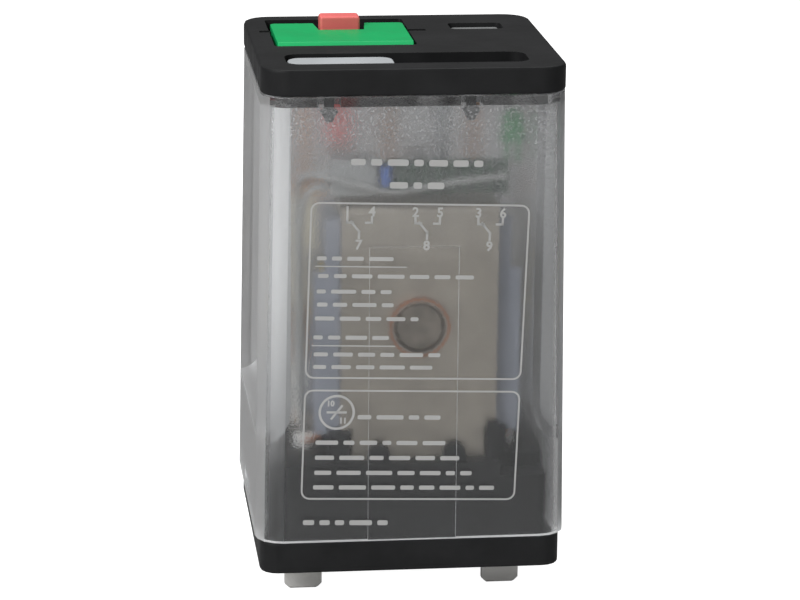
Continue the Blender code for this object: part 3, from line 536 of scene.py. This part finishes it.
def cover_face_look(face, ends):
    """Which look a face of the cover has, from where it lies and where it faces."""
    seen = (face.center + face.normal * FACE_STEP * MM) / MM
    x, y, z = seen
    low, high = ends[0][0], ends[1][0]
    inside = all(abs(seen[axis]) < half - WALL_DEPTH for axis, half in enumerate(cover_halves(ends, z)))
    faces_side = abs(face.normal.x) > FACING
    in_grip = abs(x) > GRIP_X and abs(y) < GRIP_Y and z > GRIP_Z
    in_panel_step = faces_side and abs(x) < PANEL_STEP_X and abs(y) > PANEL_STEP_Y
    at_pillar_end = abs(face.normal.y) > FACING and x < PILLAR_X and PILLAR_Y[0] < y < PILLAR_Y[1]
    # The rim and the panel's steps get the painted edge highlight.
    if z < low + RIM_HEIGHT or in_panel_step:
        return PAINTED_EDGE_HIGHLIGHT
    # The left pillar's end wall gets the painted highlight.
    if at_pillar_end and z > GRIP_Z:
        return PILLAR_END_HIGHLIGHT
    # Inside faces: real stipple, with painted glints towards the top.
    if inside and not in_grip and z < high - ROOF_DEPTH:
        return STIPPLED_INSIDE_PAINTED_GLINTS
    # Sides and grips: painted lit on the left, painted shaded on the right.
    if faces_side or in_grip:
        return SHADED_SIDE_PAINTED if x > 0 else LIT_SIDE_PAINTED
    return LOOKS["clear_plastic"]


def make_cover():
    """The clear shell, with a look for each kind of face."""
    cover = refined("cover", width=0.28, steps=3)
    looks = [LOOKS["clear_plastic"], STIPPLED_INSIDE_PAINTED_GLINTS, LIT_SIDE_PAINTED, PAINTED_EDGE_HIGHLIGHT, SHADED_SIDE_PAINTED, PILLAR_END_HIGHLIGHT]
    for look in looks[1:]:
        cover.data.materials.append(look)
    ends = cover_ends()
    for face in cover.data.polygons:
        face.material_index = looks.index(cover_face_look(face, ends))


def make_housing():
    make_cover()
    refined("top_cap", width=0.22, steps=3, angle=40)
    refined("base", angle=40)
    refined("lock_down_door")
    refined("push_button")
    refined("id_tag", width=0.08, angle=25)
    refined("indicator_lens", width=0.08, angle=25)
    for word in ("left", "right"):
        refined(f"door_pin_{word}", width=0.06)


def make_magnet():
    refined("yoke", width=0.18, steps=3)
    refined("bobbin")
    refined("core", width=0.15, steps=3)
    make_core_washer()
    refined("shading_ring", width=0.04, steps=1)
    refined("armature")
    refined("coil_tape", width=0.05, steps=1)
    make_winding()


def ring_middle(node):
    """The (x, z) middle and the outer radius of a ring about a line along Y."""
    low, high = box_mm(node)
    return ((low.x + high.x) / 2, (low.z + high.z) / 2), (high.x - low.x) / 2


# Each ring's width and the gap between them, from the washer's outside inwards.
WASHER_RING = 0.26
WASHER_GAP = 0.04
WASHER_COLLAR = 0.25


def make_core_washer():
    """A thin copper ring round the riveted end of the core, with a bright upset collar inside it."""
    low, high = box_mm("core_washer")
    centre, outer = ring_middle("core_washer")
    collar = outer - WASHER_RING - WASHER_GAP
    for name, inside, outside, look in (
        ("core_washer_ring", outer - WASHER_RING, outer, "copper"),
        ("core_washer_collar", collar - WASHER_COLLAR, collar, "plated_steel"),
    ):
        profile = [(inside, low.y), (inside, high.y), (outside, high.y), (outside, low.y)]
        mesh = lathe_mesh(name, profile, centre, steps=64)
        smooth(mesh, angle=40)
        piece = place_mesh(name, mesh, BODY_OF["core_washer"], look)
        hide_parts("core_washer")


def make_winding():
    """The coil's turns of enamelled wire, as ridges on its outside."""
    low, high = box_mm("coil_winding")
    centre, outer = ring_middle("coil_winding")
    inner = 5.6
    turns, per_turn, wire = 32, 4, 0.12
    steps = turns * per_turn
    length = high.y - low.y
    profile = [(inner, low.y)]
    for step in range(steps + 1):
        phase = math.pi * (step % per_turn) / per_turn
        profile.append((outer - wire * (1 - math.sin(phase)), low.y + length * step / steps))
    profile.append((inner, high.y))
    mesh = lathe_mesh("winding_turns", profile, centre, steps=72)
    smooth(mesh, angle=60)
    piece = place_mesh("winding_turns", mesh, BODY_OF["coil_winding"], "copper")
    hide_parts("coil_winding")


def make_contacts():
    refined("contact_carrier", width=0.15)
    refined("status_flag")
    for word in ("left", "right"):
        refined(f"armature_rivet_{word}")
    for number in POLES:
        refined(f"moving_spring_{number}", width=0.04, steps=1)
        for kind in ("moving_contact", "open_contact", "closed_contact"):
            refined(f"{kind}_{number}", width=0.06)


TIP_BEVEL = 0.26
EDGE_ROUNDING = 0.06
# The line coined across each blade under the seat stays sharp. It lies between these levels.
STOP_LINE = (-0.5, -0.1)


def make_terminals():
    """Flat terminals; the plug-in tips are also thinned by a bevel on each side."""
    names = ["coil_terminal_a", "coil_terminal_b"]
    names += [f"{kind}_terminal_{number}" for kind in ("open", "closed", "common") for number in POLES]
    for name in names:
        low, _ = box_mm(name)

        def along_tip(edge, tip=low.z):
            first, second = (vertex.co / MM for vertex in edge.verts)
            return max(first.z, second.z) < tip + 0.02 and abs(first.x - second.x) > 1.0

        def off_stop_line(edge):
            first, second = (vertex.co.z / MM for vertex in edge.verts)
            return not (STOP_LINE[0] < min(first, second) and max(first, second) < STOP_LINE[1])

        shape = cad_shape(name)
        round_edges(shape, TIP_BEVEL, steps=1, angle=30, chosen=along_tip)
        round_edges(shape, EDGE_ROUNDING, steps=2, angle=50, chosen=off_stop_line)
        stand_for(name, shape)


def make_indicator():
    refined("indicator_board", width=0.08)
    refined("indicator_lamp", width=0.1, angle=40)
    refined("dropping_resistor", width=0.05, steps=1, angle=50)
    refined("wire_anchor_block", angle=50)
    for name in ("indicator_wire_a", "indicator_wire_b", "coil_lead_a", "coil_lead_b"):
        refined(name, width=0)


STRANDS = 6
STRAND_RADIUS = 0.2
BRAID_RADIUS = 0.38
BRAID_LAY = 7.8
# Where each pole's braid passes upwards through the gaps between the terminals, as an x.
BRAID_PASSAGES = (-7.6, 4.0, 7.6)


def braid_points(number, passage):
    """A braid's middle line: off its common terminal, back and up its passage, over to its moving spring."""
    low, high = box_mm(f"common_terminal_{number}")
    common_low, common_high = box_mm("common_terminal_2")
    start = (common_low.y + common_high.y) / 2 - 1.2
    x = (low.x + high.x) / 2
    spring_low, spring_high = box_mm(f"moving_spring_{number}")
    column = (spring_low.x + spring_high.x) / 2
    inward = 1 if passage > x else -1
    return [
        (x, start, 14.5),
        (x + inward * 2.4, start + 0.1, 14.4),
        (passage, 3.0, 14.4),
        (passage, 8.0, 14.7),
        (passage, 12.2, 17.2),
        ((passage + column) / 2, 13.2, 22.7),
        (column, 13.2, 30.7),
        (column, 13.2, 44.7),
        (column, 12.6, 51.7),
        (column, 10.9, 54.1),
        (column, 9.2, 51.7),
        (column, spring_high.y + 0.8, 43.9),
    ]


def twisted(middle):
    """The routes of the strands, which turn about a braid's middle line once in each lay."""
    routes = [[] for _ in range(STRANDS)]
    travelled = 0.0
    for step, place in enumerate(middle):
        before, after = middle[max(step - 1, 0)], middle[min(step + 1, len(middle) - 1)]
        along = (after - before).normalized()
        across = along.cross(Vector((1.0, 0.2, 0.0))).normalized()
        up = along.cross(across)
        if step:
            travelled += (place - middle[step - 1]).length
        for strand, route in enumerate(routes):
            turn = 2 * math.pi * (strand / STRANDS + travelled / BRAID_LAY)
            route.append(place + BRAID_RADIUS * (math.cos(turn) * across + math.sin(turn) * up))
    return routes


def make_braids():
    """Each braid as twisted strands inside the space of its CAD tube."""
    for number, passage in zip(POLES, BRAID_PASSAGES):
        routes = twisted(smooth_route(braid_points(number, passage), steps=8))
        mesh = tube_mesh(f"braid_strands_{number}", routes, STRAND_RADIUS, sides=6)
        piece = place_mesh(f"braid_strands_{number}", mesh, BODY_OF[f"braid_{number}"], "spring_copper")
        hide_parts(f"braid_{number}")


def make_return_spring():
    """The extension spring along the top of the yoke, as a fine helix."""
    low, high = box_mm("return_spring")
    turns, per_turn, wire = 7, 24, 0.2
    steps = turns * per_turn
    coil_radius = (high.x - low.x) / 2 - wire
    x = (low.x + high.x) / 2
    z = 48.6
    hook, back, front = high.y - wire, 1.2, -4.3
    route = [(x, hook, z - 0.75), (x, hook, z), (x, back + 0.4, z)]
    for step in range(steps + 1):
        turn = math.radians(90) + 2 * math.pi * step / per_turn
        place = (x + coil_radius * math.cos(turn), back + (front - back) * step / steps)
        route.append((*place, z + coil_radius * math.sin(turn)))
    route.append((x, front - 0.45, z + 0.9))
    mesh = tube_mesh("return_spring_fine", [route], wire, sides=10)
    piece = place_mesh("return_spring_fine", mesh, BODY_OF["return_spring"], "spring_wire")
    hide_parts("return_spring")


# The print on the cover's front --------------------------------------------------------------------------

# The label stands a little askew, turned about its middle, an (x, z).
LABEL_TURN = math.radians(1.85)
LABEL_MIDDLE = (0.0, 27.5)
FRAME_HALF_WIDTH = 13.4
FRAME_LEVELS = ((25.2, 47.4), (9.6, 23.8))
FRAME_CORNER = 1.1
FRAME_LINE = 0.22
STROKE = 0.28
RULE_LINE = 0.14
DIGIT_BOLDNESS = 0.05
# How much larger the font's size is than the height of its digits.
FONT_SIZE_SHARE = 1.38
PRINT_THICKNESS = 0.0035
PRINT_GAP = 0.003

# Words stand as bars. Each row has the level of its middle, its left and right end, and its height.
WORD_ROWS = (
    (52.4, -8.7, 8.8, 0.8),
    (49.6, -3.9, 3.7, 0.8),
    (40.4, -12.4, -1.7, 0.5),
    (38.2, -12.2, 6.9, 0.5),
    (36.25, -12.3, -2.8, 0.5),
    (34.6, -12.2, -2.8, 0.5),
    (32.85, -12.4, 0.3, 0.5),
    (30.45, -12.5, -2.6, 0.5),
    (28.3, -12.4, 3.2, 0.5),
    (26.7, -12.4, 2.3, 0.5),
    (20.3, -6.7, 4.6, 0.55),
    (17.0, -11.8, 4.9, 0.55),
    (15.05, -11.8, 6.4, 0.55),
    (13.1, -11.8, 7.8, 0.55),
    (11.2, -11.9, 10.7, 0.55),
    (6.6, -13.0, -1.7, 0.65),
)
WORD_SEED = 7
WORD_LENGTHS = (1.0, 3.4)
WORD_GAP = 0.65
SHORTEST_WORD = 0.8
# Underlines: level, left and right end.
RULES = ((39.4, -12.5, -1.5), (29.4, -12.6, -2.5))

# Where the diagram's poles and its coil symbol stand, and how tall the terminal numbers are.
POLE_PLACES = (-7.4, 0.9, 8.6)
FIXED_CONTACT_AWAY = 1.5
CHANGEOVER_LEVEL = 43.0
UPPER_NUMBER_LEVEL = 46.25
LOWER_NUMBER_LEVEL = 42.1
DIGIT_HEIGHT = 1.2
COIL_DIGIT_HEIGHT = 0.7
COIL_SYMBOL = (-9.3, 20.9)
COIL_RING_RADII = (2.25, 1.95)
# The two strokes of the symbol in the ring, and the two coil terminals' numbers.
COIL_STROKES = (((-10.4, 20.9), (-8.2, 20.9)), ((-9.9, 20.1), (-8.7, 21.7)))
COIL_NUMBERS = (("10", -10.1, 22.0), ("11", -8.5, 19.8))


def rounded_outline(left, right, bottom, top, corner, steps=5):
    """A rectangle with round corners."""
    points = []
    centres = (
        (right - corner, top - corner),
        (left + corner, top - corner),
        (left + corner, bottom + corner),
        (right - corner, bottom + corner),
    )
    for quarter, (x, z) in enumerate(centres):
        for step in range(steps + 1):
            turn = math.pi / 2 * (quarter + step / steps)
            points.append((x + corner * math.cos(turn), z + corner * math.sin(turn)))
    return points


def stroke(start, end, width=STROKE):
    """A straight printed line as an outline."""
    along = Vector((end[0] - start[0], end[1] - start[1])).normalized() * width / 2
    x0, z0, x1, z1 = *(Vector(start) - along), *(Vector(end) + along)
    return [
        (x0 - along.y, z0 + along.x),
        (x1 - along.y, z1 + along.x),
        (x1 + along.y, z1 - along.x),
        (x0 + along.y, z0 - along.x),
    ]


def front_place(x, z, ends):
    """Where a point of the label lands, just off the cover's front."""
    dx, dz = x - LABEL_MIDDLE[0], z - LABEL_MIDDLE[1]
    across = LABEL_MIDDLE[0] + dx * math.cos(LABEL_TURN) + dz * math.sin(LABEL_TURN)
    level = LABEL_MIDDLE[1] - dx * math.sin(LABEL_TURN) + dz * math.cos(LABEL_TURN)
    _, half_depth = cover_halves(ends, level)
    return Vector((across, -half_depth - PRINT_GAP, level)) * MM


def print_on_front(name, plates, rings=(), numbers=()):
    """Thin print on the cover: outlines, rings between two outlines, and (text, x, z, height) numbers."""
    ends = cover_ends()
    shape = bmesh.new()

    def corner(x, z):
        return shape.verts.new(front_place(x, z, ends))

    for outline in plates:
        shape.faces.new([corner(x, z) for x, z in outline])
    for outer, inner in rings:
        loops = [[corner(x, z) for x, z in loop] for loop in (outer, inner)]
        for number in range(len(outer)):
            other = (number + 1) % len(outer)
            shape.faces.new((loops[0][number], loops[0][other], loops[1][other], loops[1][number]))
    for text, x, z, height in numbers:
        add_number(shape, text, x, z, height, ends)
    made = bmesh.ops.extrude_face_region(shape, geom=shape.faces[:])
    moved = [thing for thing in made["geom"] if isinstance(thing, bmesh.types.BMVert)]
    bmesh.ops.translate(shape, verts=moved, vec=(0.0, -PRINT_THICKNESS * MM, 0.0))
    piece = place_mesh(name, mesh_of(name, shape), "housing", "white_plastic")
    piece.data.materials[0] = PRINT_INK


def add_number(shape, text, x, z, height, ends):
    """Adds a number's flat face, centred on a point of the label."""
    curve = bpy.data.curves.new("number", "FONT")
    curve.body = text
    curve.size = height * FONT_SIZE_SHARE
    curve.align_x = "CENTER"
    curve.align_y = "CENTER"
    curve.offset = DIGIT_BOLDNESS
    curve.resolution_u = 2
    mesh = evaluated_mesh("number", curve)
    corners = []
    for point in mesh.vertices:
        corners.append(shape.verts.new(front_place(x + point.co.x, z + point.co.y, ends)))
    for face in mesh.polygons:
        shape.faces.new([corners[number] for number in face.vertices])
    bpy.data.meshes.remove(mesh)


def changeover_symbol(x, z):
    """One changeover contact: the common line with its arm, and a hooked line to each fixed contact."""
    pivot, arm_tip = (x, z + 0.8), (x - 1.0, z + 2.0)
    foot, top = z + 1.9, z + 2.6
    strokes = [stroke((x, z), pivot), stroke(pivot, arm_tip)]
    for side in (-1, 1):
        line, hook = x + side * FIXED_CONTACT_AWAY, x + side * 0.8
        strokes += [stroke((line, foot), (line, top)), stroke((line, foot), (hook, foot))]
    return strokes


def circle(x, z, radius, steps=40):
    """A round outline."""
    turns = [2 * math.pi * step / steps for step in range(steps)]
    return [(x + radius * math.cos(turn), z + radius * math.sin(turn)) for turn in turns]


def make_label_frames():
    """The two rounded frames."""
    rings = []
    left, right = LABEL_MIDDLE[0] - FRAME_HALF_WIDTH, LABEL_MIDDLE[0] + FRAME_HALF_WIDTH
    for bottom, top in FRAME_LEVELS:
        outer = rounded_outline(left, right, bottom, top, FRAME_CORNER)
        inside = (left + FRAME_LINE, right - FRAME_LINE, bottom + FRAME_LINE, top - FRAME_LINE)
        rings.append((outer, rounded_outline(*inside, FRAME_CORNER - FRAME_LINE)))
    print_on_front("label_frames", [], rings)


def make_word_bars():
    """Plain bars of uneven length where words would be, with two underlines."""
    words = random.Random(WORD_SEED)
    bars = []
    for z, left, right, height in WORD_ROWS:
        x = left
        while x < right - SHORTEST_WORD:
            length = min(words.uniform(*WORD_LENGTHS), right - x)
            bars.append(rounded_outline(x, x + length, z - height / 2, z + height / 2, height * 0.3, steps=2))
            x += length + WORD_GAP
    bars += [stroke((left, z), (right, z), RULE_LINE) for z, left, right in RULES]
    print_on_front("label_word_bars", bars)


def make_terminal_diagram():
    """A changeover contact for each pole and a ring with the coil's symbol, with the terminals' numbers."""
    strokes = []
    numbers = []
    for pole, x in zip(POLES, POLE_PLACES):
        strokes += changeover_symbol(x, CHANGEOVER_LEVEL)
        numbers.append((str(pole), x - FIXED_CONTACT_AWAY, UPPER_NUMBER_LEVEL, DIGIT_HEIGHT))
        numbers.append((str(pole + 3), x + FIXED_CONTACT_AWAY, UPPER_NUMBER_LEVEL, DIGIT_HEIGHT))
        numbers.append((str(pole + 6), x, LOWER_NUMBER_LEVEL, DIGIT_HEIGHT))
    strokes += [stroke(start, end) for start, end in COIL_STROKES]
    numbers += [(*number, COIL_DIGIT_HEIGHT) for number in COIL_NUMBERS]
    rings = [tuple(circle(*COIL_SYMBOL, radius) for radius in COIL_RING_RADII)]
    print_on_front("label_terminal_diagram", strokes, rings, numbers)


# Light, floor and camera ---------------------------------------------------------------------------------

# The camera's place and lens in millimetres, and its angles in degrees.
CAMERA_PLACE = (-44.5, -381.19, 136.4)
CAMERA_PITCH = 15.451
CAMERA_YAW = 6.704
CAMERA_ROLL = 0.55
CAMERA_LENS = 140.11

# Half the floor's side in metres, and the gap between the floor and the blades in millimetres.
FLOOR_HALF_SIZE = 4.0
FLOOR_GAP = 0.02
FLOOR_GREY = (0.46, 0.46, 0.46)
FLOOR_TONES = ((0.45, 0.45, 0.45), (0.47, 0.47, 0.47))

WHITE = (1.0, 1.0, 1.0, 1.0)
WORLD_LIGHT = 0.13
WORLD_THROUGH_COVER = 0.5
# Each soft box has a name, its place and size in metres, and its power in watts. All aim at one point.
LAMPS = (
    ("key", (-0.48, -0.42, 0.5), (0.35, 0.35), 4.2),
    ("fill", (0.5, -0.7, 0.3), (0.3, 0.3), 0.3),
    ("top", (0.05, 0.15, 0.7), (0.5, 0.3), 2.6),
    ("low", (-0.12, -0.5, 0.01), (0.12, 0.06), 0.24),
)
LAMP_AIM = (0.0, 0.0, 0.03)


def make_camera():
    data = bpy.data.cameras.new("camera")
    data.sensor_width = 36.0
    data.lens = CAMERA_LENS
    data.clip_start = 0.01
    data.clip_end = 20.0
    camera = bpy.data.objects.new("camera", data)
    bpy.context.scene.collection.objects.link(camera)
    turn = Matrix.Rotation(math.radians(-CAMERA_YAW), 4, "Z")
    turn @= Matrix.Rotation(math.radians(90 - CAMERA_PITCH), 4, "X")
    turn @= Matrix.Rotation(math.radians(CAMERA_ROLL), 4, "Z")
    camera.matrix_world = Matrix.Translation(Vector(CAMERA_PLACE) * MM) @ turn
    bpy.context.scene.camera = camera


def make_floor():
    """A pale floor that glows white to the camera alone, so that it doesn't light the object."""
    shape = bmesh.new()
    bmesh.ops.create_grid(shape, x_segments=8, y_segments=8, size=FLOOR_HALF_SIZE)
    floor = bpy.data.objects.new("floor", mesh_of("floor", shape))
    bpy.context.scene.collection.objects.link(floor)
    floor.location.z = cad_low.z - FLOOR_GAP * MM
    made, tree, shader = new_look("pale_floor", FLOOR_GREY, 0.9, Specular_IOR_Level=0.0, Emission_Color=WHITE)
    tint(tree, noise(tree, grain=60.0, detail=2.0), shader.inputs["Base Color"], *FLOOR_TONES)
    path = tree.nodes.new("ShaderNodeLightPath")
    tree.links.new(path.outputs["Is Camera Ray"], shader.inputs["Emission Strength"])
    floor.data.materials.append(made)


def make_lamp(name, place, size, power):
    """A soft box aimed at the object."""
    data = bpy.data.lights.new(name, "AREA")
    data.shape = "RECTANGLE"
    data.size, data.size_y = size
    data.energy = power
    lamp = bpy.data.objects.new(name, data)
    bpy.context.scene.collection.objects.link(lamp)
    lamp.location = place
    lamp.rotation_mode = "QUATERNION"
    lamp.rotation_quaternion = (Vector(LAMP_AIM) - Vector(place)).to_track_quat("-Z", "Y")


def make_world():
    """A dim world that is brighter through the clear cover and white to the camera."""
    world = bpy.data.worlds.new("studio")
    bpy.context.scene.world = world
    world.use_nodes = True
    tree = world.node_tree
    back = tree.nodes["Background"]
    back.inputs["Color"].default_value = WHITE
    path = tree.nodes.new("ShaderNodeLightPath")
    through = tree.nodes.new("ShaderNodeMapRange")
    through.inputs["To Min"].default_value = WORLD_LIGHT
    through.inputs["To Max"].default_value = WORLD_THROUGH_COVER
    tree.links.new(path.outputs["Is Transmission Ray"], through.inputs["Value"])
    level = tree.nodes.new("ShaderNodeMapRange")
    tree.links.new(through.outputs["Result"], level.inputs["To Min"])
    level.inputs["To Max"].default_value = 1.0
    tree.links.new(path.outputs["Is Camera Ray"], level.inputs["Value"])
    tree.links.new(level.outputs["Result"], back.inputs["Strength"])


make_camera()
make_floor()
make_world()
for lamp in LAMPS:
    make_lamp(*lamp)
make_housing()
make_magnet()
make_contacts()
make_terminals()
make_indicator()
make_braids()
make_return_spring()
make_label_frames()
make_word_bars()
make_terminal_diagram()
bpy.context.scene.view_settings.view_transform = "Standard"
